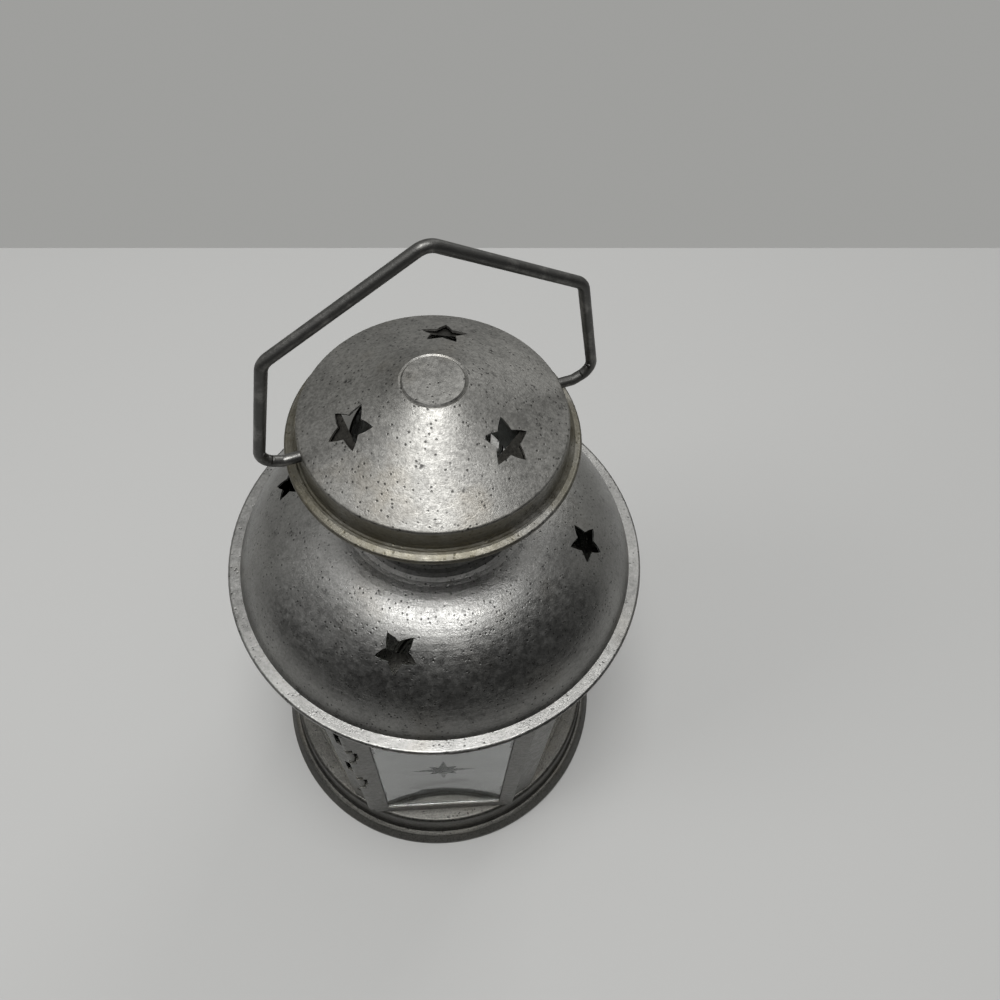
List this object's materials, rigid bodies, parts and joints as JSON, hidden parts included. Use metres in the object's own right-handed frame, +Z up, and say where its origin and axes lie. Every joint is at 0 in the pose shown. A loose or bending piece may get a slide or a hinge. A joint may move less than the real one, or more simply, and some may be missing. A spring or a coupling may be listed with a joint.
{
  "type": "punched tin lantern",
  "caption": "Six-sided glazed tealight lantern of punched tin, with a hinged door, a domed shade, a vented cap and a wire bail.",
  "frame": {"origin": "on the floor under the middle of the foot", "axes": "+Z up, -Y towards the glazed door, +X to the right of someone who faces the door"},
  "size_m": [0.1312, 0.1312, 0.2488],
  "materials": {
    "foot_steel": "satin galvanised",
    "body_steel": "satin galvanised",
    "shade_steel": "satin galvanised",
    "cap_steel": "satin galvanised, stained",
    "window_glass": "clear",
    "wire": "dull, worn"
  },
  "bodies": {
    "root": {"base": "foot_steel", "tealight_cup": "foot_steel", "body_shell": "body_steel", "pane_right_front": "window_glass", "pane_right_back": "window_glass", "pane_back": "window_glass", "pane_left_back": "window_glass", "pane_left_front": "window_glass", "door_catch": "body_steel", "top_plate": "body_steel", "shade": "shade_steel", "chimney": "cap_steel", "cap": "cap_steel"},
    "door": {"door_frame": "body_steel", "door_pane": "window_glass", "hinge_rod": "wire"},
    "bail": {"bail": "wire"}
  },
  "joints": [
    {"name": "door_swing", "type": "hinge", "parent": "root", "child": "door", "pos_m": [-0.02772, -0.05404, 0.074], "axis": [0, 0, -1], "range_deg": [0, 110]},
    {"name": "bail_swing", "type": "hinge", "parent": "root", "child": "bail", "pos_m": [0, 0, 0.1969], "axis": [0.95, 0.3123, 0], "range_deg": [-136, 140]}
  ]
}
